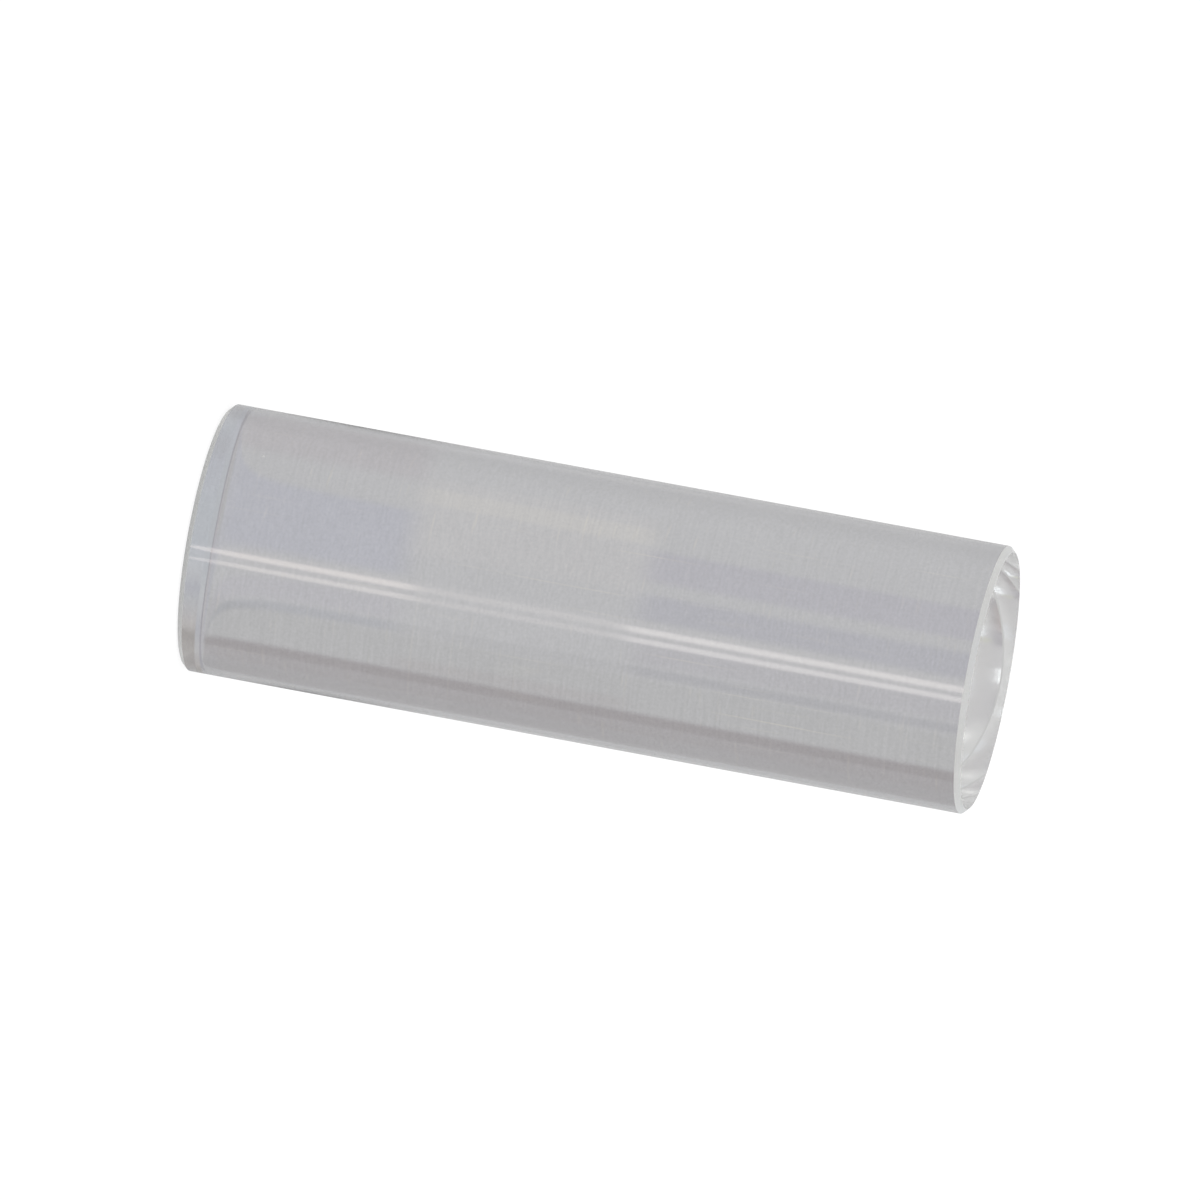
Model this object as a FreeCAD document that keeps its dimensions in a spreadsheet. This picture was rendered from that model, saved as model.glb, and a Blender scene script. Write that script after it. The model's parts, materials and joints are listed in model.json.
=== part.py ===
"""Gradient-index rod lens, in millimetres.

The lens is one piece: a plain glass cylinder with a polished barrel, cut and polished square
at both ends, with a small protective bevel ground round each rim. Its power is in the glass,
whose index falls smoothly from the axis to the barrel, so it has no curved face, no cement
line and no second glass.

The frame has +Z along the optical axis, from the entry face to the exit face. The origin is
the centre of the entry face, on which the lens stands.
"""

import FreeCAD
import Part
import os
import Sketcher

NODE = "rod_lens"
STEP_FOLDER = "parts"

# Where a sketch constraint takes hold: a circle's centre, and the sketch's own origin
CIRCLE_CENTRE = 3
SKETCH_AXES = -1
SKETCH_ORIGIN = 1

# Name, size in millimetres and meaning of each driving dimension
DRIVING_SIZES = (
    ("rod_diameter", "1.8", "polished barrel, the face that a sleeve or V-groove holds"),
    ("rod_length", "5.32", "entry face to exit face along the optical axis"),
    ("edge_bevel", "0.035", "leg of the 45 degree protective bevel on each rim"),
)


def make_sheet(doc):
    """Spreadsheet with one aliased cell for each driving dimension."""
    sheet = doc.addObject("Spreadsheet::Sheet", "Sizes")
    for row, (name, size, meaning) in enumerate(DRIVING_SIZES, start=1):
        sheet.set(f"A{row}", name)
        sheet.set(f"B{row}", size)
        sheet.setAlias(f"B{row}", name)
        sheet.set(f"C{row}", meaning)
    doc.recompute()
    return sheet


def origin_plane(body, role):
    """One of the body's own origin planes, found by its role."""
    return next(plane for plane in body.Origin.OriginFeatures if plane.Role == role)


def sketch_section(body, sheet):
    """Round section of the rod, centred on the optical axis, in the plane of the entry face."""
    section = body.newObject("Sketcher::SketchObject", "RodSection")
    section.AttachmentSupport = [(origin_plane(body, "XY_Plane"), "")]
    section.MapMode = "FlatFace"
    optical_axis = FreeCAD.Vector(0, 0, 1)
    circle = section.addGeometry(
        Part.Circle(FreeCAD.Vector(0, 0, 0), optical_axis, sheet.rod_diameter / 2)
    )
    section.addConstraint(
        Sketcher.Constraint("Coincident", circle, CIRCLE_CENTRE, SKETCH_AXES, SKETCH_ORIGIN)
    )
    diameter = section.addConstraint(Sketcher.Constraint("Diameter", circle, sheet.rod_diameter))
    section.renameConstraint(diameter, "RodDiameter")
    section.setExpression("Constraints.RodDiameter", "Sizes.rod_diameter")
    return section


def draw_rod(body, section):
    """Glass rod of that section, cut square at its full length."""
    rod = body.newObject("PartDesign::Pad", "Rod")
    rod.Profile = section
    rod.setExpression("Length", "Sizes.rod_length")
    return rod


def rim_names(shape):
    """Names of the round edges where the barrel meets the two end faces."""
    return [
        f"Edge{number}"
        for number, edge in enumerate(shape.Edges, start=1)
        if isinstance(edge.Curve, Part.Circle)
    ]


def grind_bevels(body, rod):
    """Protective bevel round the entry rim and the exit rim, which keeps them from chipping."""
    bevels = body.newObject("PartDesign::Chamfer", "RimBevels")
    bevels.Base = (rod, rim_names(rod.Shape))
    bevels.setExpression("Size", "Sizes.edge_bevel")
    return bevels


def make_lens(doc, sheet):
    """The whole lens, as one body."""
    body = doc.addObject("PartDesign::Body", "RodLens")
    body.Label = NODE
    section = sketch_section(body, sheet)
    rod = draw_rod(body, section)
    doc.recompute()
    body.Tip = grind_bevels(body, rod)
    doc.recompute()
    return body


def check_document(doc, body):
    """Stop if any feature failed, or if the lens isn't one sound solid."""
    for item in doc.Objects:
        if "Invalid" in item.State or "Error" in item.State:
            raise RuntimeError(f"{item.Label} failed: {item.State}")
    shape = body.Shape
    if shape.isNull() or not shape.isValid() or len(shape.Solids) != 1:
        raise RuntimeError(f"{body.Label} is not one valid solid")


def write_step(body):
    """The lens's solid, in a file named after its node."""
    os.makedirs(STEP_FOLDER, exist_ok=True)
    body.Shape.exportStep(os.path.join(STEP_FOLDER, f"{body.Label}.step"))


document = FreeCAD.newDocument("RodLens")
lens = make_lens(document, make_sheet(document))
check_document(document, lens)
write_step(lens)

box = lens.Shape.BoundBox
print(
    f"{lens.Label}: {box.XLength:.3f} x {box.YLength:.3f} x {box.ZLength:.3f} mm, "
    f"{lens.Shape.Volume:.4f} cubic mm, {len(lens.Shape.Faces)} faces"
)
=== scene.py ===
"""Looks of a gradient-index rod lens: a small polished glass cylinder on a white table.

The rod stands on its entry face, with the optical axis along +Z. Lengths are in metres, except
where a comment says millimetres.
"""

import json
import math

import bpy
import numpy as np
from mathutils import Matrix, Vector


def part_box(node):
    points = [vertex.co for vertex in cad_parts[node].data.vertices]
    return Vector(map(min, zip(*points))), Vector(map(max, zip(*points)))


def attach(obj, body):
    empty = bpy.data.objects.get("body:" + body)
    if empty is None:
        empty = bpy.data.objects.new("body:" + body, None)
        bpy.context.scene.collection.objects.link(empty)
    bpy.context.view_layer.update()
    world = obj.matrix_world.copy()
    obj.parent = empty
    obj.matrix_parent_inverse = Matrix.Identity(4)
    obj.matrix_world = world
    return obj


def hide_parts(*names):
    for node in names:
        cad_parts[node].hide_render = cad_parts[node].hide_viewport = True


bl_info = {
    "name": "Rod lens",
    "version": (1, 0, 0),
    "blender": (4, 5, 0),
    "location": "3D View > Sidebar > Rod lens",
    "description": "Makes a gradient-index rod lens, its glass and the table that it stands on",
    "category": "Add Mesh",
}

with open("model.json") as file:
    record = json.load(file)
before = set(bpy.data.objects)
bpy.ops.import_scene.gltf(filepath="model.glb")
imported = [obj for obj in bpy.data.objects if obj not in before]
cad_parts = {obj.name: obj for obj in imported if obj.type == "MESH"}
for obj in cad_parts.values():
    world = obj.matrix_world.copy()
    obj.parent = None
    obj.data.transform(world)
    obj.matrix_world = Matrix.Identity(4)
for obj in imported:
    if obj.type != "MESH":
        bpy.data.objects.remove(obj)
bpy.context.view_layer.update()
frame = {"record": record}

NODE = "rod_lens"
MM = 0.001

# The rod's sizes, from the frame. The two bevels are what the barrel leaves of the length.
ROD_LOW, ROD_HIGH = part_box(NODE)
BARREL_MOUNT = next(mount for mount in frame["record"]["mounts"] if mount["name"] == "barrel")
ROD_RADIUS = BARREL_MOUNT["dims"]["r_mm"] * MM
ROD_LENGTH = ROD_HIGH[2] - ROD_LOW[2]
EDGE_BEVEL = (ROD_LENGTH - BARREL_MOUNT["dims"]["length_mm"] * MM) / 2

# Mesh steps of the half profile, on each rounded edge, each end face and the barrel
ARC_STEPS = 4
FACE_STEPS = 4
BARREL_STEPS = 24

# Place of each finish in the lens's row of materials
BARREL = 0
FACE = 1
BEVEL = 2

# The photograph's frame, and where the middle of the rod lies in it
PICTURE_SIDE = 1200
ROD_MIDDLE_PIXEL = (599.1, 608.6)
PIXELS_PER_MM = 151.05


def linear(code):
    """Linear red, green and blue of an sRGB colour given as six hex digits."""
    channels = [int(code[start : start + 2], 16) / 255 for start in (1, 3, 5)]
    return [c / 12.92 if c <= 0.04045 else ((c + 0.055) / 1.055) ** 2.4 for c in channels]


class RodLensSizes(bpy.types.PropertyGroup):
    """Sizes of the lens mesh."""

    radius: bpy.props.FloatProperty(
        name="Barrel radius",
        description="From the optical axis to the polished barrel",
        default=ROD_RADIUS,
        min=0.0,
        precision=6,
        unit="LENGTH",
    )
    length: bpy.props.FloatProperty(
        name="Length",
        description="From the entry face to the exit face",
        default=ROD_LENGTH,
        min=0.0,
        precision=6,
        unit="LENGTH",
    )
    bevel: bpy.props.FloatProperty(
        name="Edge bevel",
        description="Leg of the 45 degree bevel ground round each rim",
        default=EDGE_BEVEL,
        min=0.0,
        precision=6,
        unit="LENGTH",
    )
    edge_round: bpy.props.FloatProperty(
        name="Edge rounding",
        description="Radius that handling and polishing leave on each edge of a bevel",
        default=0.006 * MM,
        min=0.0,
        precision=6,
        unit="LENGTH",
    )
    around: bpy.props.IntProperty(
        name="Steps around",
        description="Mesh steps round the barrel",
        default=1440,
        min=24,
    )


class RodLensFinish(bpy.types.PropertyGroup):
    """Colours and polish of the glass."""

    glass_colour: bpy.props.FloatVectorProperty(
        name="Glass colour",
        description="What is left of white light that passes through the rod once",
        subtype="COLOR",
        size=3,
        min=0.0,
        max=1.0,
        default=linear("#B0B0B2"),
    )
    haze_colour: bpy.props.FloatVectorProperty(
        name="Haze colour",
        description="The same where the light polish left more of the grinding haze",
        subtype="COLOR",
        size=3,
        min=0.0,
        max=1.0,
        default=linear("#BABABC"),
    )
    ring_colour: bpy.props.FloatVectorProperty(
        name="Grinding mark colour",
        description="The same on the faint rings and hairlines that grinding left",
        subtype="COLOR",
        size=3,
        min=0.0,
        max=1.0,
        default=linear("#C4C1BA"),
    )
    face_colour: bpy.props.FloatVectorProperty(
        name="End face colour",
        description="The same for light that passes both end faces",
        subtype="COLOR",
        size=3,
        min=0.0,
        max=1.0,
        default=linear("#F0F0F0"),
    )
    bevel_colour: bpy.props.FloatVectorProperty(
        name="Bevel colour",
        description="Pale frost of the ground bevels and of the tiny pits",
        subtype="COLOR",
        size=3,
        min=0.0,
        max=1.0,
        default=linear("#DDDDDA"),
    )
    index: bpy.props.FloatProperty(
        name="Index of refraction",
        description="Index of the dense glass near the axis, which gives most of the bending",
        default=1.64,
        min=1.0,
        max=2.5,
    )
    barrel_roughness: bpy.props.FloatProperty(
        name="Barrel roughness",
        description="Haze that centreless grinding and a light polish leave on the barrel",
        subtype="FACTOR",
        default=0.025,
        min=0.0,
        max=1.0,
    )
    face_roughness: bpy.props.FloatProperty(
        name="End face roughness",
        description="What lapping and a fine polish leave on the end faces",
        subtype="FACTOR",
        default=0.02,
        min=0.0,
        max=1.0,
    )
    bevel_roughness: bpy.props.FloatProperty(
        name="Bevel roughness",
        description="Finely ground surface of the protective bevels",
        subtype="FACTOR",
        default=0.35,
        min=0.0,
        max=1.0,
    )


class RodLensStudio(bpy.types.PropertyGroup):
    """The camera and the table."""

    camera_distance: bpy.props.FloatProperty(
        name="Camera distance",
        description="From the middle of the rod to the camera",
        default=200.0 * MM,
        unit="LENGTH",
    )
    camera_height: bpy.props.FloatProperty(
        name="Camera elevation",
        description="How far above the level of the rod's middle the camera looks from",
        default=math.radians(8.85),
        unit="ROTATION",
    )
    axis_dip: bpy.props.FloatProperty(
        name="Dip of the rod in the picture",
        description="Angle below level at which the rod points right, as the camera is rolled",
        default=math.radians(10.45),
        unit="ROTATION",
    )
    table_glow: bpy.props.FloatProperty(
        name="Table whiteness",
        description="Share of the table's white that doesn't take the object's shadow",
        subtype="FACTOR",
        default=0.87,
        min=0.0,
        max=1.0,
    )


def add_node(tree, kind, inputs=None, **settings):
    """Add one shader node with its settings, and give its inputs values or links."""
    node = tree.nodes.new(kind)
    for name, value in settings.items():
        setattr(node, name, value)
    for name, value in (inputs or {}).items():
        if isinstance(value, bpy.types.NodeSocket):
            tree.links.new(value, node.inputs[name])
        else:
            node.inputs[name].default_value = value
    return node


def new_material(name):
    """An empty node material, with its tree."""
    material = bpy.data.materials.new(name)
    material.use_nodes = True
    material.node_tree.nodes.clear()
    return material, material.node_tree


def new_object(name, points, faces, materials):
    """A mesh object at the origin, from an array of points and a list of faces."""
    mesh = bpy.data.meshes.new(name)
    mesh.from_pydata(points.tolist(), [], faces)
    mesh.validate()
    for material in materials:
        mesh.materials.append(material)
    thing = bpy.data.objects.new(name, mesh)
    bpy.context.scene.collection.objects.link(thing)
    return thing


# Cloudy marks on the glass: the size of one across the axis and along it, and the levels of the
# pattern at which it starts and is full. Real grinding haze has a grain of about 0.002 mm, and
# the grit marks on a bevel are about 0.005 mm wide. Both are too fine to show in the picture, so
# they are drawn as coarse as they need to be to show.
HAZE_GRAIN = {"across": 0.018 * MM, "along": 0.018 * MM, "low": 0.3, "high": 0.7}
BARREL_CLOUDS = {"across": 0.45 * MM, "along": 0.45 * MM, "low": 0.35, "high": 0.65}
GRINDING_RINGS = {"across": 0.3 * MM, "along": 0.024 * MM, "low": 0.64, "high": 0.86}
HAIRLINES = {"across": 0.022 * MM, "along": 1.6 * MM, "low": 0.68, "high": 0.76}
FACE_CLOUDS = {"across": 0.15 * MM, "along": 0.15 * MM, "low": 0.35, "high": 0.65}
BEVEL_GRIT = {"across": 0.012 * MM, "along": 0.012 * MM, "low": 0.3, "high": 0.7, "detail": 3.0}

# Tiny round pits: their spacing and radius, and the share of the radius that is fully pale
PIT_SPACING = 0.42 * MM
PIT_RADIUS = 0.011 * MM
PIT_CORE = 0.6

# What the marks leave of each colour of the light
BARREL_CLOUD_SHADE = (0.97, 0.97, 0.97, 1.0)
FACE_CLOUD_SHADE = (0.97, 0.975, 0.97, 1.0)
GRIT_SHADE = (0.90, 0.91, 0.90, 1.0)

# How much of the light goes through a pit in the barrel, a pit in an end face and a bevel
BARREL_PIT_CLEARNESS = 0.5
FACE_PIT_CLEARNESS = 0.7
BEVEL_CLEARNESS = 0.35

# A grinding ring is this many times as rough as the barrel beside it
RING_ROUGHNESS = 2.0

# A falling index keeps light off the barrel wall, but the glass here has one index, so light goes
# on from wall to wall. Counted back from the eye, the wall starts to blur that light and to tint
# it less after this many surfaces, and after the second number it blurs it in full, untinted.
LATE_START = 4.0
LATE_END = 7.0
LATE_BLUR = 0.5
UNTINTED = (1.0, 1.0, 1.0, 1.0)

# Counted back from the eye, one surface lies before a bevel that is seen straight through the
# barrel, and more before one that is seen down the rod. This is the limit between the two, and
# what the bevel leaves of the light in the second case.
SEEN_THROUGH_BARREL = 1.5
BEVEL_SHADE = (0.63, 0.63, 0.63, 1.0)


def stretched(tree, across, along):
    """Object coordinates that grow by one per width across the axis and per length along it."""
    place = add_node(tree, "ShaderNodeTexCoord")
    mapping = add_node(
        tree,
        "ShaderNodeMapping",
        {"Vector": place.outputs["Object"], "Scale": (1 / across, 1 / across, 1 / along)},
    )
    return mapping.outputs["Vector"]


def marks(tree, across, along, low, high, detail=2.0):
    """Cloudy pattern of that size, 0 up to the level low and 1 from the level high."""
    cloud = add_node(
        tree,
        "ShaderNodeTexNoise",
        {"Vector": stretched(tree, across, along), "Scale": 1.0, "Detail": detail},
    )
    mask = add_node(
        tree,
        "ShaderNodeMapRange",
        {"Value": cloud.outputs["Fac"], "From Min": low, "From Max": high},
    )
    return mask.outputs["Result"]


def pits(tree):
    """1 in tiny round pits, one for each cell of their spacing, and 0 between them."""
    cells = add_node(
        tree,
        "ShaderNodeTexVoronoi",
        {"Vector": stretched(tree, PIT_SPACING, PIT_SPACING), "Scale": 1.0},
    )
    mask = add_node(
        tree,
        "ShaderNodeMapRange",
        {
            "Value": cells.outputs["Distance"],
            "From Min": PIT_CORE * PIT_RADIUS / PIT_SPACING,
            "From Max": PIT_RADIUS / PIT_SPACING,
            "To Min": 1.0,
            "To Max": 0.0,
        },
    )
    return mask.outputs["Result"]


def polished_barrel_glass(finish):
    """Optical glass, centreless-ground and then lightly polished.

    To the eye it is clear, with a trace of grainy haze that is uneven on a larger scale, faint
    warm rings from the grinding wheel, a few hairlines along the rod and some tiny pale pits.
    """
    material, tree = new_material("polished_barrel_glass")
    rings = marks(tree, **GRINDING_RINGS)
    pit = pits(tree)
    path = add_node(tree, "ShaderNodeLightPath")
    late = add_node(
        tree,
        "ShaderNodeMapRange",
        {"Value": path.outputs["Ray Depth"], "From Min": LATE_START, "From Max": LATE_END},
    )
    layers = (
        (marks(tree, **HAZE_GRAIN), (*finish.haze_colour, 1.0), "MIX"),
        (marks(tree, **BARREL_CLOUDS), BARREL_CLOUD_SHADE, "MULTIPLY"),
        (rings, (*finish.ring_colour, 1.0), "MIX"),
        (marks(tree, **HAIRLINES), (*finish.ring_colour, 1.0), "MIX"),
        (pit, (*finish.bevel_colour, 1.0), "MIX"),
        (late.outputs["Result"], UNTINTED, "MIX"),
    )
    colour = (*finish.glass_colour, 1.0)
    for mask, tint, blend in layers:
        tinted = add_node(
            tree,
            "ShaderNodeMix",
            {0: mask, 6: colour, 7: tint},
            data_type="RGBA",
            blend_type=blend,
        )
        colour = tinted.outputs[2]
    clearness = add_node(
        tree,
        "ShaderNodeMapRange",
        {"Value": pit, "To Min": 1.0, "To Max": BARREL_PIT_CLEARNESS},
    )
    haze = add_node(
        tree,
        "ShaderNodeMapRange",
        {
            "Value": rings,
            "To Min": finish.barrel_roughness,
            "To Max": RING_ROUGHNESS * finish.barrel_roughness,
        },
    )
    blur = add_node(
        tree,
        "ShaderNodeMath",
        {0: late.outputs["Result"], 1: LATE_BLUR, 2: haze.outputs["Result"]},
        operation="MULTIPLY_ADD",
    )
    shader = add_node(
        tree,
        "ShaderNodeBsdfPrincipled",
        {
            "Base Color": colour,
            "Roughness": blur.outputs[0],
            "IOR": finish.index,
            "Transmission Weight": clearness.outputs["Result"],
        },
    )
    add_node(tree, "ShaderNodeOutputMaterial", {"Surface": shader.outputs["BSDF"]})
    return material


def polished_face_glass(finish):
    """Optical glass, lapped and polished flat: smooth, with slight clouds and a few tiny pits."""
    material, tree = new_material("polished_face_glass")
    clouded = add_node(
        tree,
        "ShaderNodeMix",
        {0: marks(tree, **FACE_CLOUDS), 6: (*finish.face_colour, 1.0), 7: FACE_CLOUD_SHADE},
        data_type="RGBA",
        blend_type="MULTIPLY",
    )
    clearness = add_node(
        tree,
        "ShaderNodeMapRange",
        {"Value": pits(tree), "To Min": 1.0, "To Max": FACE_PIT_CLEARNESS},
    )
    shader = add_node(
        tree,
        "ShaderNodeBsdfPrincipled",
        {
            "Base Color": clouded.outputs[2],
            "Roughness": finish.face_roughness,
            "IOR": finish.index,
            "Transmission Weight": clearness.outputs["Result"],
        },
    )
    add_node(tree, "ShaderNodeOutputMaterial", {"Surface": shader.outputs["BSDF"]})
    return material


def ground_bevel_glass(finish):
    """Optical glass, ground with fine grit.

    From outside the eye sees a pale grainy frost. From inside, a bevel this small isn't seen as a
    shape of its own: straight through the barrel, it bends light as the barrel beside it does,
    and down the rod, it lets light straight through.
    """
    material, tree = new_material("ground_bevel_glass")
    grainy = add_node(
        tree,
        "ShaderNodeMix",
        {0: marks(tree, **BEVEL_GRIT), 6: (*finish.bevel_colour, 1.0), 7: GRIT_SHADE},
        data_type="RGBA",
        blend_type="MULTIPLY",
    )
    frost = add_node(
        tree,
        "ShaderNodeBsdfPrincipled",
        {
            "Base Color": grainy.outputs[2],
            "Roughness": finish.bevel_roughness,
            "IOR": finish.index,
            "Transmission Weight": BEVEL_CLEARNESS,
        },
    )
    place = add_node(tree, "ShaderNodeTexCoord")
    to_axis = add_node(
        tree,
        "ShaderNodeVectorMath",
        {0: place.outputs["Object"], 1: (-1.0, -1.0, 0.0)},
        operation="MULTIPLY",
    )
    inward = add_node(
        tree,
        "ShaderNodeVectorTransform",
        {"Vector": to_axis.outputs[0]},
        vector_type="NORMAL",
        convert_from="OBJECT",
        convert_to="WORLD",
    )
    unit_inward = add_node(
        tree, "ShaderNodeVectorMath", {0: inward.outputs["Vector"]}, operation="NORMALIZE"
    )
    like_barrel = add_node(
        tree,
        "ShaderNodeBsdfPrincipled",
        {
            "Base Color": (*finish.glass_colour, 1.0),
            "Roughness": finish.barrel_roughness,
            "IOR": finish.index,
            "Transmission Weight": 1.0,
            "Normal": unit_inward.outputs[0],
        },
    )
    straight = add_node(
        tree, "ShaderNodeBsdfRefraction", {"Color": BEVEL_SHADE, "Roughness": 0.0, "IOR": 1.0}
    )
    path = add_node(tree, "ShaderNodeLightPath")
    down_the_rod = add_node(
        tree,
        "ShaderNodeMath",
        {0: path.outputs["Ray Depth"], 1: SEEN_THROUGH_BARREL},
        operation="GREATER_THAN",
    )
    inside = add_node(
        tree,
        "ShaderNodeMixShader",
        {
            0: down_the_rod.outputs[0],
            1: like_barrel.outputs["BSDF"],
            2: straight.outputs["BSDF"],
        },
    )
    side = add_node(tree, "ShaderNodeNewGeometry")
    shader = add_node(
        tree,
        "ShaderNodeMixShader",
        {
            0: side.outputs["Backfacing"],
            1: frost.outputs["BSDF"],
            2: inside.outputs["Shader"],
        },
    )
    add_node(tree, "ShaderNodeOutputMaterial", {"Surface": shader.outputs["Shader"]})
    return material


def half_profile(sizes):
    """Outline of the rod from the axis at one end to the axis at the other.

    Each row is radius, height, then the outward normal's radial and axial parts. The flats and
    the barrel are straight, and each of the four bevel edges is an arc of the edge rounding
    that turns the normal by 45 degrees. Also gives the finish of each step between two rows.
    """
    radius, length, bevel, edge = sizes.radius, sizes.length, sizes.bevel, sizes.edge_round
    tangent = edge * math.tan(math.radians(22.5))

    def arc(centre_radius, centre_height, start):
        turn = np.radians(start + np.linspace(0.0, 45.0, ARC_STEPS + 1))
        outward, upward = np.cos(turn), np.sin(turn)
        return np.column_stack(
            (centre_radius + edge * outward, centre_height + edge * upward, outward, upward)
        )

    face_end = radius - bevel - tangent
    face_radii = np.linspace(0.0, face_end, FACE_STEPS + 1)[1:-1]
    level = np.zeros_like(face_radii)
    entry_face = np.column_stack((face_radii, level, level, level - 1.0))
    barrel_end = bevel + tangent
    heights = np.linspace(barrel_end, length - barrel_end, BARREL_STEPS + 1)[1:-1]
    barrel = np.column_stack(
        (np.full_like(heights, radius), heights, np.ones_like(heights), np.zeros_like(heights))
    )
    lower_bevel = np.vstack((arc(face_end, edge, -90.0), arc(radius - edge, barrel_end, -45.0)))
    mirror = np.array((1.0, -1.0, 1.0, -1.0))
    offset = np.array((0.0, length, 0.0, 0.0))
    upper_bevel = (lower_bevel * mirror + offset)[::-1]
    exit_face = (entry_face * mirror + offset)[::-1]
    profile = np.vstack((entry_face, lower_bevel, barrel, upper_bevel, exit_face))
    face_steps, bevel_steps, barrel_steps = len(entry_face), len(lower_bevel) - 1, len(barrel) + 1
    finish = np.repeat(
        (FACE, BEVEL, BARREL, BEVEL, FACE),
        (face_steps, bevel_steps, barrel_steps, bevel_steps, face_steps),
    )
    return profile, finish


def revolve(profile, around):
    """Turn a half profile about Z, and close both ends with a single point on the axis.

    A point is (radius cos a, radius sin a, height), with a going once round in equal steps.
    The ends' own points are the last two. Faces turn outwards, and those of the first step
    between two rows come first and those that close the ends last.
    """
    angle = np.linspace(0.0, 2.0 * np.pi, around, endpoint=False)
    ring = np.stack((np.cos(angle), np.sin(angle)), axis=-1)

    def sweep(out, up):
        flat = out[:, None, None] * ring[None, :, :]
        height = np.broadcast_to(up[:, None, None], flat.shape[:2] + (1,))
        return np.concatenate((flat, height), axis=2).reshape(-1, 3)

    points = sweep(profile[:, 0], profile[:, 1])
    normals = sweep(profile[:, 2], profile[:, 3])
    rows = len(profile)
    row, step = np.meshgrid(np.arange(rows - 1), np.arange(around), indexing="ij")
    beside = (step + 1) % around
    walls = np.stack(
        (
            row * around + step,
            row * around + beside,
            (row + 1) * around + beside,
            (row + 1) * around + step,
        ),
        axis=-1,
    ).reshape(-1, 4)
    low_pole, high_pole = len(points), len(points) + 1
    points = np.vstack((points, (0.0, 0.0, profile[0, 1]), (0.0, 0.0, profile[-1, 1])))
    normals = np.vstack((normals, (0.0, 0.0, -1.0), (0.0, 0.0, 1.0)))
    step = np.arange(around)
    beside = (step + 1) % around
    last = (rows - 1) * around
    low_cap = np.column_stack((np.full(around, low_pole), beside, step))
    high_cap = np.column_stack((np.full(around, high_pole), last + step, last + beside))
    return points, normals, walls.tolist() + low_cap.tolist() + high_cap.tolist()


class ROD_LENS_OT_lens(bpy.types.Operator):
    """Make the glass rod and its finishes, in place of the plain CAD node"""

    bl_idname = "rod_lens.make_lens"
    bl_label = "Make the lens"

    def execute(self, context):
        sizes = context.scene.rod_lens_sizes
        finish = context.scene.rod_lens_finish
        profile, step_finish = half_profile(sizes)
        points, normals, faces = revolve(profile, sizes.around)
        materials = (
            polished_barrel_glass(finish),
            polished_face_glass(finish),
            ground_bevel_glass(finish),
        )
        lens = new_object("glass_rod", points, faces, materials)
        walls = np.repeat(step_finish, sizes.around)
        caps = np.full(2 * sizes.around, FACE)
        lens.data.polygons.foreach_set("material_index", np.concatenate((walls, caps)))
        lens.data.shade_smooth()
        lens.data.normals_split_custom_set_from_vertices(normals.tolist())
        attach(lens, "root")
        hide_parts(NODE)
        return {"FINISHED"}


# A light sheet's directions round the axis, and its rings, in millimetres from the axis: fine
# ones near the rod, coarse ones as far as the patches show, and two on the way to the table's edge
SHEET_DIRECTIONS = 721
FINE_RINGS_END = 2.8
FINE_RINGS = 90
COARSE_RINGS_START = 3.0
COARSE_RINGS_END = 60.0
COARSE_RINGS = 140
LAST_RINGS = (100.0, 2000.0)

# Two sheets lie between the table and the lens. The one that shows through the end face lies
# below the table, which light through the glass doesn't see. Sheets start near the axis or just
# outside the rod, at these millimetres from the axis.
SHEET_HEIGHT = -0.004 * MM
FACE_SHEET_HEIGHT = -0.223 * MM
NEAR_AXIS = 0.02
OUTSIDE_ROD = 0.93

# The way along Y that azimuth 0 points in
TOWARDS_CAMERA = -1
AWAY_FROM_CAMERA = 1


def soft_window(value, low, high, soft):
    """1 between low and high, 0 outside, with a smooth step of width soft at each of the two."""

    def step(edge):
        part = np.clip((value - edge) / soft + 0.5, 0.0, 1.0)
        return part * part * (3.0 - 2.0 * part)

    return step(low) * (1.0 - step(high))


def lit_from_behind(name):
    """White paper lit from behind, brighter and darker in places."""
    material, tree = new_material(name)
    light = add_node(tree, "ShaderNodeVertexColor", layer_name="light")
    glow = add_node(tree, "ShaderNodeEmission", {"Color": light.outputs["Color"], "Strength": 1.0})
    add_node(tree, "ShaderNodeOutputMaterial", {"Surface": glow.outputs["Emission"]})
    return material


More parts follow.
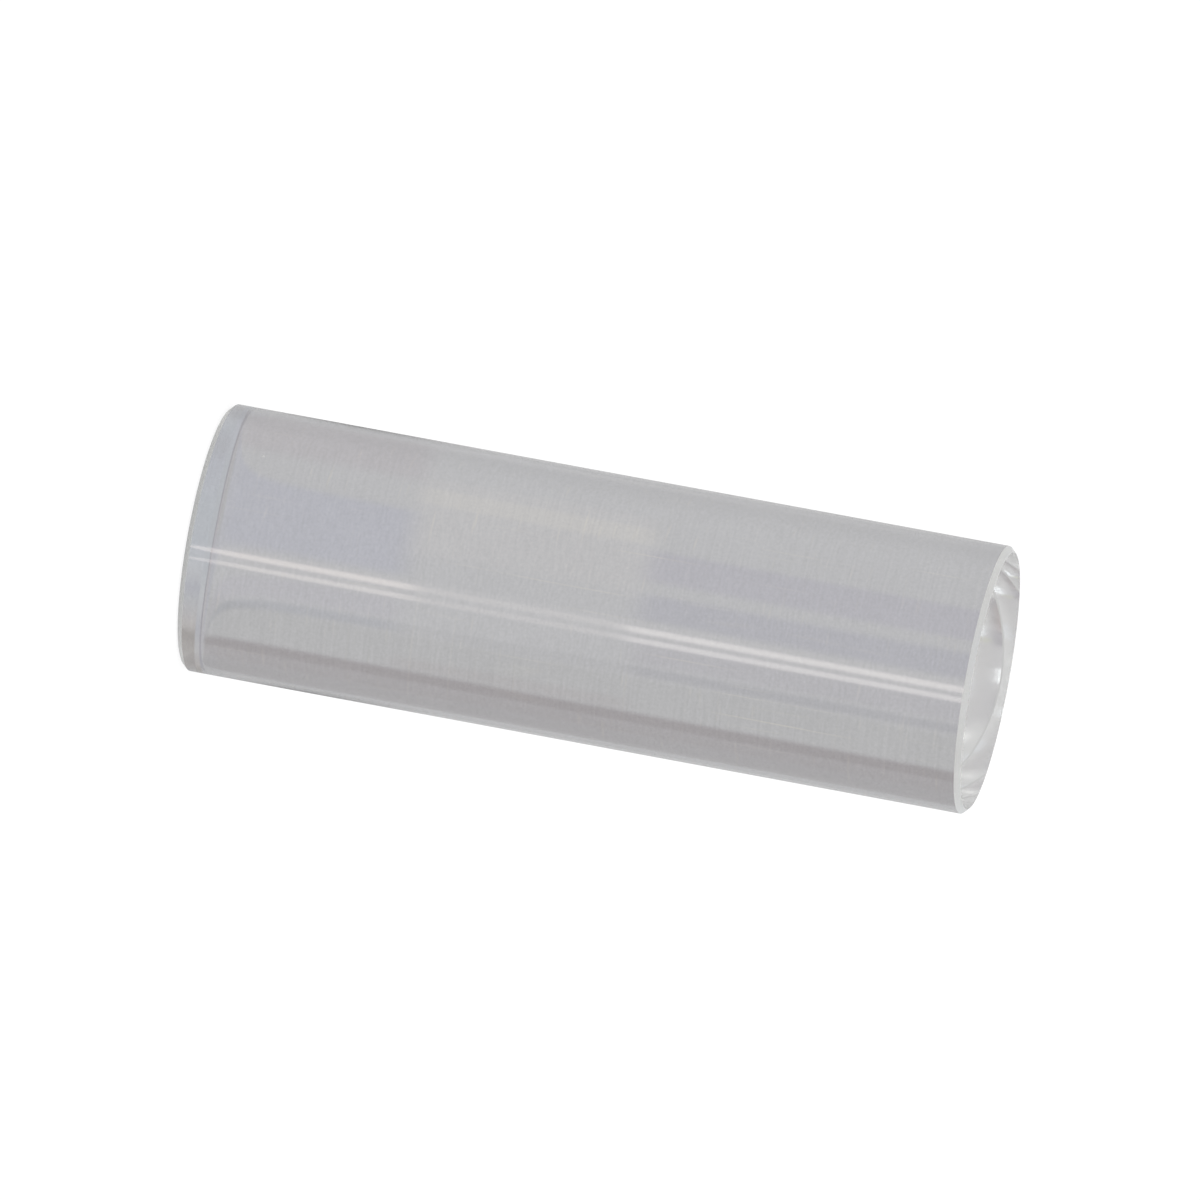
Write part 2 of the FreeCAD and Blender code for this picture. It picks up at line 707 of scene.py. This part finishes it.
def light_sheet(name, patches, start, height, forward):
    """Level sheet round the rod that glows like the white table, save for some patches.

    A point is (r sin a, forward r cos a, height), with r from the start outwards. Each patch is
    a centre (x, y), then low, high and softness of its azimuths as seen from that centre, the
    same for its distances, and the red, green and blue light that it adds. Lengths are in
    millimetres, azimuths in degrees. Azimuth 0 is along forward Y, and azimuths grow towards
    +X. The sheet's light is 1 plus the sum of each patch's light times its window in azimuth
    and in distance.
    """
    azimuth = np.radians(np.linspace(-180.0, 180.0, SHEET_DIRECTIONS))
    radius = np.concatenate(
        (
            np.linspace(start, FINE_RINGS_END, FINE_RINGS),
            np.linspace(COARSE_RINGS_START, COARSE_RINGS_END, COARSE_RINGS),
            LAST_RINGS,
        )
    )
    across = radius[:, None] * np.sin(azimuth)[None, :]
    ahead = radius[:, None] * np.cos(azimuth)[None, :]
    light = np.ones(across.shape + (3,))
    for centre, (low, high, soft), reach, added in patches:
        aside, onward = across - centre[0], ahead - centre[1] * forward
        middle = (low + high) / 2
        bearing = (np.degrees(np.arctan2(aside, onward)) - middle + 180.0) % 360.0 - 180.0
        sector = soft_window(bearing, low - middle, high - middle, soft)
        window = sector * soft_window(np.hypot(aside, onward), *reach)
        light += window[..., None] * np.array(added)
    points = np.stack((across * MM, forward * ahead * MM, np.full_like(across, height)), axis=-1)
    row, step = np.meshgrid(np.arange(len(radius) - 1), np.arange(len(azimuth) - 1), indexing="ij")
    first = (row * len(azimuth) + step).ravel()
    faces = np.column_stack((first, first + len(azimuth), first + len(azimuth) + 1, first + 1))
    sheet = new_object(name, points.reshape(-1, 3), faces.tolist(), [lit_from_behind(name)])
    shade = sheet.data.color_attributes.new("light", "FLOAT_COLOR", "POINT")
    colour = np.concatenate((np.clip(light, 0.0, None), np.ones(across.shape + (1,))), axis=2)
    shade.data.foreach_set("color", colour.ravel())
    sheet.visible_camera = False
    sheet.visible_diffuse = False
    sheet.visible_shadow = False
    return sheet


# Patches on the sheet that the front of the barrel mirrors: two strip lamps, each dimmer in the
# middle of its length, and a dark card at either side. Each centre is where on the barrel its
# patch is mirrored. A patch shows the lower on the rod the nearer it lies.
LINE_1 = (0.08, -0.90)
LINE_2 = (0.16, -0.89)
SIDE_1 = (0.86, -0.26)
SIDE_2 = (-0.86, -0.26)
MIRRORED = (
    (LINE_1, (8.6, 13.6, 3.4), (0.0, 9.7, 1.2), (2.90, 2.50, 2.30)),
    (LINE_1, (8.6, 13.6, 3.4), (9.7, 19.4, 1.2), (0.80, 0.72, 0.68)),
    (LINE_1, (9.4, 14.4, 3.4), (19.4, 60.0, 1.2), (2.85, 2.60, 2.50)),
    (LINE_1, (4.6, 23.4, 4.0), (0.0, 60.0, 1.2), (0.32, 0.28, 0.26)),
    (LINE_2, (18.0, 22.2, 2.6), (0.0, 9.7, 1.2), (2.05, 1.80, 1.70)),
    (LINE_2, (18.0, 22.2, 2.6), (9.7, 19.4, 1.2), (0.70, 0.62, 0.60)),
    (LINE_2, (18.4, 22.8, 2.6), (19.4, 60.0, 1.2), (2.30, 2.10, 2.08)),
    (SIDE_1, (112.0, 212.0, 40.0), (0.0, 60.0, 1.0), (-0.50, -0.50, -0.50)),
    (SIDE_1, (142.0, 206.0, 16.0), (8.0, 60.0, 8.0), (0.26, 0.26, 0.26)),
    (SIDE_2, (-212.0, -112.0, 40.0), (0.0, 60.0, 1.0), (-0.44, -0.44, -0.44)),
    (SIDE_2, (-206.0, -142.0, 16.0), (8.0, 60.0, 8.0), (0.26, 0.26, 0.26)),
)

# Patches on the sheet that shows through the barrel. Each centre is where the light of its patch
# enters the rod's back: at the middle, or a little to one side if it shows near the barrel's edge.
# A patch shows the lower on the rod the nearer it lies.
BACK = (0.0, 0.9)
BACK_1 = (0.085, 0.89)
BACK_2 = (-0.085, 0.89)
NEAR = (0.0, 8.0, 1.5)
MIDDLE = (8.0, 18.8, 1.5)
FAR = (18.8, 80.0, 1.5)
ALL = (0.18, 80.0, 0.2)
BEHIND_BARREL = (
    (BACK_1, (-75.0, -38.5, 3.5), ALL, (-0.21, -0.23, -0.23)),
    (BACK_1, (-56.0, -38.5, 6.0), ALL, (-0.05, -0.06, -0.06)),
    (BACK_1, (-46.0, -40.0, 3.0), ALL, (-0.10, -0.11, -0.11)),
    (BACK_1, (-38.0, -21.5, 4.0), ALL, (-0.08, -0.08, -0.09)),
    (BACK_1, (-38.0, -32.0, 4.0), MIDDLE, (-0.04, -0.06, -0.06)),
    (BACK, (-20.5, -17.0, 2.0), NEAR, (-0.14, -0.13, -0.10)),
    (BACK, (-20.5, -17.0, 2.0), MIDDLE, (-0.06, -0.06, -0.06)),
    (BACK, (-20.5, -17.0, 2.0), FAR, (-0.15, -0.15, -0.13)),
    (BACK, (-16.0, -9.0, 3.0), NEAR, (-0.03, -0.04, -0.01)),
    (BACK, (-16.0, -9.0, 3.0), FAR, (-0.06, -0.07, -0.05)),
    (BACK, (-0.8, 22.0, 4.0), NEAR, (-0.07, -0.06, 0.01)),
    (BACK_2, (38.0, 75.0, 10.0), NEAR, (-0.06, -0.09, -0.08)),
    (BACK, (7.0, 40.0, 6.0), MIDDLE, (0.05, 0.04, 0.03)),
    (BACK, (26.0, 34.0, 3.0), MIDDLE, (0.07, 0.06, 0.03)),
    (BACK, (-1.0, 7.5, 3.0), FAR, (-0.11, -0.11, -0.06)),
    (BACK, (12.0, 24.0, 3.0), FAR, (-0.08, -0.09, -0.04)),
)

# Patches on the lower sheet, which show only through the end face: broad tones first, then the
# darker and brighter shapes on them
AXIS = (0.0, 0.0)
ROUND = (-400.0, 400.0, 1.0)
BELOW_FACE = (
    (AXIS, ROUND, (0.3, 1.12, 0.15), (0.12, 0.12, 0.12)),
    (AXIS, (-100.0, 105.0, 20.0), (1.12, 1.75, 0.2), (-0.30, -0.33, -0.31)),
    (AXIS, (-100.0, 80.0, 20.0), (1.75, 2.6, 0.3), (-0.30, -0.32, -0.28)),
    (AXIS, (-162.0, -104.0, 16.0), (1.88, 2.6, 0.3), (-0.90, -0.95, -0.90)),
    (AXIS, (-104.0, -66.0, 16.0), (1.95, 2.6, 0.3), (-0.55, -0.58, -0.52)),
    (AXIS, (-146.0, -92.0, 14.0), (2.28, 2.6, 0.08), (0.28, 0.08, -0.06)),
    (AXIS, (16.0, 60.0, 10.0), (2.38, 2.6, 0.05), (-0.65, -0.65, -0.62)),
    (AXIS, (60.0, 96.0, 10.0), (2.36, 2.6, 0.05), (-0.35, -0.35, -0.33)),
    (AXIS, (-25.0, 1.0, 9.0), (2.28, 2.6, 0.08), (3.0, 3.2, 3.2)),
    (AXIS, (-109.0, -85.0, 10.0), (1.14, 1.42, 0.12), (2.2, 2.4, 2.5)),
    (AXIS, (2.0, 48.0, 10.0), (0.84, 0.99, 0.05), (0.5, 0.65, 0.85)),
    (AXIS, (148.0, 164.0, 8.0), (2.28, 2.6, 0.06), (0.5, 0.6, 0.8)),
    (AXIS, (110.0, 122.0, 6.0), (1.60, 1.77, 0.08), (1.2, 1.2, 1.1)),
    (AXIS, (95.0, 132.0, 10.0), (1.42, 1.95, 0.15), (0.30, 0.30, 0.30)),
    (AXIS, (-82.0, -72.0, 6.0), (1.50, 1.66, 0.10), (0.15, 0.25, -0.40)),
)


def make_light_sheets():
    """The sheets that only the glass sees: one in its mirror images, two through it."""
    mirrored = light_sheet(
        "mirrored_lamps_and_cards", MIRRORED, NEAR_AXIS, SHEET_HEIGHT, TOWARDS_CAMERA
    )
    mirrored.visible_transmission = False
    behind = light_sheet(
        "cards_behind_the_barrel", BEHIND_BARREL, OUTSIDE_ROD, SHEET_HEIGHT, AWAY_FROM_CAMERA
    )
    behind.visible_glossy = False
    below = light_sheet(
        "cards_below_the_face", BELOW_FACE, NEAR_AXIS, FACE_SHEET_HEIGHT, AWAY_FROM_CAMERA
    )
    below.visible_glossy = False


# The round table top, a hair under the lens so that the two surfaces don't coincide
TABLE_RADIUS = 2.0
TABLE_SIDES = 64
TABLE_GAP = 0.01 * MM

# What the table gives back of the light, and how white its glow and its lit part are together
# where no shadow falls
PAPER_WHITE = (0.8, 0.8, 0.8, 1.0)
TABLE_WHITE = 1.07


def white_table(studio):
    """Matt white table. What sees it directly or through glass gets most of its white as glow."""
    material, tree = new_material("matt_white_table")
    path = add_node(tree, "ShaderNodeLightPath")
    camera_or_glossy = add_node(
        tree,
        "ShaderNodeMath",
        {0: path.outputs["Is Camera Ray"], 1: path.outputs["Is Glossy Ray"]},
        operation="MAXIMUM",
    )
    seen = add_node(
        tree,
        "ShaderNodeMath",
        {0: camera_or_glossy.outputs[0], 1: path.outputs["Is Transmission Ray"]},
        operation="MAXIMUM",
    )
    paper = add_node(tree, "ShaderNodeBsdfDiffuse", {"Color": PAPER_WHITE})
    share = TABLE_WHITE - studio.table_glow
    lit = add_node(tree, "ShaderNodeBsdfDiffuse", {"Color": (share, share, share, 1.0)})
    glow = add_node(tree, "ShaderNodeEmission", {"Strength": studio.table_glow})
    shown = add_node(
        tree, "ShaderNodeAddShader", {0: lit.outputs["BSDF"], 1: glow.outputs["Emission"]}
    )
    surface = add_node(
        tree,
        "ShaderNodeMixShader",
        {0: seen.outputs[0], 1: paper.outputs["BSDF"], 2: shown.outputs["Shader"]},
    )
    add_node(tree, "ShaderNodeOutputMaterial", {"Surface": surface.outputs["Shader"]})
    return material


def make_table(studio):
    """Round table top. A corner is (radius cos a, radius sin a, minus the gap).

    Light through the glass sees the light sheets instead of it.
    """
    angle = np.linspace(0.0, 2.0 * np.pi, TABLE_SIDES, endpoint=False)
    height = np.full(TABLE_SIDES, -TABLE_GAP)
    points = np.column_stack((TABLE_RADIUS * np.cos(angle), TABLE_RADIUS * np.sin(angle), height))
    table = new_object("table_top", points, [list(range(TABLE_SIDES))], [white_table(studio)])
    table.visible_transmission = False


# The room by the sine of the elevation: a white wall with a grey strip low down, greyer higher
# up, and a white ceiling
WALL_HEIGHTS = (
    (0.0, (1.00, 1.04, 1.09)),
    (0.115, (1.00, 1.04, 1.09)),
    (0.128, (0.45, 0.45, 0.44)),
    (0.148, (0.45, 0.45, 0.44)),
    (0.158, (0.94, 0.985, 1.03)),
    (0.20, (0.94, 0.985, 1.03)),
    (0.50, (0.85, 0.85, 0.85)),
    (0.90, (1.05, 1.05, 1.07)),
)

# What pale furnishings low on the wall leave of its light or add to it, by the azimuth in degrees
# from +Y towards +X, and the sines of the elevation at which they start to fade and end
WALL_SIDES = (
    (-180.0, (1.00, 1.00, 1.00)),
    (-90.0, (0.76, 0.68, 0.61)),
    (-48.0, (0.76, 0.68, 0.61)),
    (-44.0, (0.71, 0.635, 0.57)),
    (-41.0, (0.71, 0.635, 0.57)),
    (-36.0, (1.00, 0.91, 0.84)),
    (-23.0, (0.97, 0.94, 0.92)),
    (-18.5, (0.91, 0.885, 0.905)),
    (-14.0, (1.03, 1.00, 0.985)),
    (-10.0, (1.08, 1.06, 1.04)),
    (-5.0, (1.00, 1.00, 1.00)),
    (10.0, (1.00, 1.00, 1.00)),
    (28.0, (0.985, 0.97, 0.99)),
    (34.0, (0.91, 0.89, 0.895)),
    (40.0, (0.91, 0.89, 0.895)),
    (50.0, (0.96, 0.96, 0.96)),
    (75.0, (0.93, 0.89, 0.87)),
)
FURNISHINGS_FADE = 0.2
FURNISHINGS_END = 0.35


def set_tones(ramp, tones):
    """Make a colour ramp run straight from tone to tone, each of them at its own place."""
    ramp.elements.remove(ramp.elements[1])
    for number, (place, tone) in enumerate(tones):
        element = ramp.elements[0] if number == 0 else ramp.elements.new(place)
        element.position = place
        element.color = (*tone, 1.0)


def make_world():
    """White room, with a grey strip and some pale furnishings low on its wall."""
    world = bpy.data.worlds.new("white_room")
    bpy.context.scene.world = world
    world.use_nodes = True
    tree = world.node_tree
    tree.nodes.clear()
    direction = add_node(tree, "ShaderNodeTexCoord")
    parts = add_node(tree, "ShaderNodeSeparateXYZ", {0: direction.outputs["Generated"]})
    heights = add_node(tree, "ShaderNodeValToRGB", {"Fac": parts.outputs["Z"]})
    set_tones(heights.color_ramp, WALL_HEIGHTS)
    azimuth = add_node(
        tree,
        "ShaderNodeMath",
        {0: parts.outputs["X"], 1: parts.outputs["Y"]},
        operation="ARCTAN2",
    )
    turn = add_node(
        tree,
        "ShaderNodeMapRange",
        {"Value": azimuth.outputs[0], "From Min": -math.pi, "From Max": math.pi},
    )
    sides = add_node(tree, "ShaderNodeValToRGB", {"Fac": turn.outputs["Result"]})
    set_tones(sides.color_ramp, [(place / 360.0 + 0.5, tone) for place, tone in WALL_SIDES])
    low = add_node(
        tree,
        "ShaderNodeMapRange",
        {
            "Value": parts.outputs["Z"],
            "From Min": FURNISHINGS_FADE,
            "From Max": FURNISHINGS_END,
            "To Min": 1.0,
            "To Max": 0.0,
        },
    )
    wall = add_node(
        tree,
        "ShaderNodeMix",
        {0: low.outputs["Result"], 6: heights.outputs["Color"], 7: sides.outputs["Color"]},
        data_type="RGBA",
        blend_type="MULTIPLY",
    )
    light = add_node(tree, "ShaderNodeBackground", {"Color": wall.outputs[2], "Strength": 1.0})
    add_node(tree, "ShaderNodeOutputWorld", {"Surface": light.outputs["Background"]})


# The camera's sensor in millimetres, and how near and how far it sees
SENSOR_WIDTH = 36.0
VIEW_START_SHARE = 0.1
VIEW_END = 10.0


def make_camera(studio):
    """Camera at the photograph's angle.

    It looks from the -Y side, above the level of the rod. Its picture's right and up are the
    rod's own axis and the X axis turned by the dip, so the standing rod lies across the frame.
    """
    outward, upward = math.cos(studio.camera_height), math.sin(studio.camera_height)
    toward_camera = np.array((0.0, -outward, upward))
    rod_in_picture = np.array((0.0, upward, outward))
    level = np.array((1.0, 0.0, 0.0))
    dip = studio.axis_dip
    right = math.cos(dip) * rod_in_picture - math.sin(dip) * level
    up = -math.sin(dip) * rod_in_picture - math.cos(dip) * level
    middle = np.array((0.0, 0.0, ROD_LENGTH / 2))
    aside = (PICTURE_SIDE / 2 - ROD_MIDDLE_PIXEL[0]) / PIXELS_PER_MM * MM
    above = (ROD_MIDDLE_PIXEL[1] - PICTURE_SIDE / 2) / PIXELS_PER_MM * MM
    place = middle + aside * right + above * up + studio.camera_distance * toward_camera
    lens = bpy.data.cameras.new("camera")
    lens.sensor_width = SENSOR_WIDTH
    width_seen = PICTURE_SIDE / PIXELS_PER_MM * MM
    lens.lens = SENSOR_WIDTH * studio.camera_distance / width_seen
    lens.clip_start = VIEW_START_SHARE * studio.camera_distance
    lens.clip_end = VIEW_END
    camera = bpy.data.objects.new("camera", lens)
    bpy.context.scene.collection.objects.link(camera)
    bpy.context.scene.camera = camera
    matrix = np.eye(4)
    matrix[:3] = np.column_stack((right, up, toward_camera, place))
    camera.matrix_world = Matrix(matrix.tolist())


# How many surfaces light may meet, as it goes to and fro in the rod
BOUNCES = 48


class ROD_LENS_OT_stage(bpy.types.Operator):
    """Make the table, the light and the camera"""

    bl_idname = "rod_lens.make_stage"
    bl_label = "Make the stage"

    def execute(self, context):
        scene = context.scene
        make_table(scene.rod_lens_studio)
        make_world()
        make_camera(scene.rod_lens_studio)
        make_light_sheets()
        scene.view_settings.view_transform = "Standard"
        scene.cycles.max_bounces = BOUNCES
        scene.cycles.glossy_bounces = BOUNCES
        scene.cycles.transmission_bounces = BOUNCES
        return {"FINISHED"}


class ROD_LENS_PT_panel(bpy.types.Panel):
    """Sizes, finish and stage of the rod lens, with a button for each part of the scene"""

    bl_idname = "ROD_LENS_PT_panel"
    bl_label = "Rod lens"
    bl_space_type = "VIEW_3D"
    bl_region_type = "UI"
    bl_category = "Rod lens"

    def draw(self, context):
        scene = context.scene
        for settings in (scene.rod_lens_sizes, scene.rod_lens_finish, scene.rod_lens_studio):
            box = self.layout.box()
            for name in settings.__annotations__:
                box.prop(settings, name)
        for operator in (ROD_LENS_OT_lens, ROD_LENS_OT_stage):
            self.layout.operator(operator.bl_idname)


SETTINGS = {
    "rod_lens_sizes": RodLensSizes,
    "rod_lens_finish": RodLensFinish,
    "rod_lens_studio": RodLensStudio,
}
CLASSES = (*SETTINGS.values(), ROD_LENS_OT_lens, ROD_LENS_OT_stage, ROD_LENS_PT_panel)


def register():
    """Make the classes known to Blender, and hang the settings on the scene."""
    for each in CLASSES:
        bpy.utils.register_class(each)
    for name, group in SETTINGS.items():
        setattr(bpy.types.Scene, name, bpy.props.PointerProperty(type=group))


def unregister():
    """Undo what register does."""
    for name in SETTINGS:
        delattr(bpy.types.Scene, name)
    for each in reversed(CLASSES):
        bpy.utils.unregister_class(each)


def main():
    """Make the lens and its stage."""
    register()
    bpy.ops.rod_lens.make_lens()
    bpy.ops.rod_lens.make_stage()


if __name__ == "__main__":
    main()
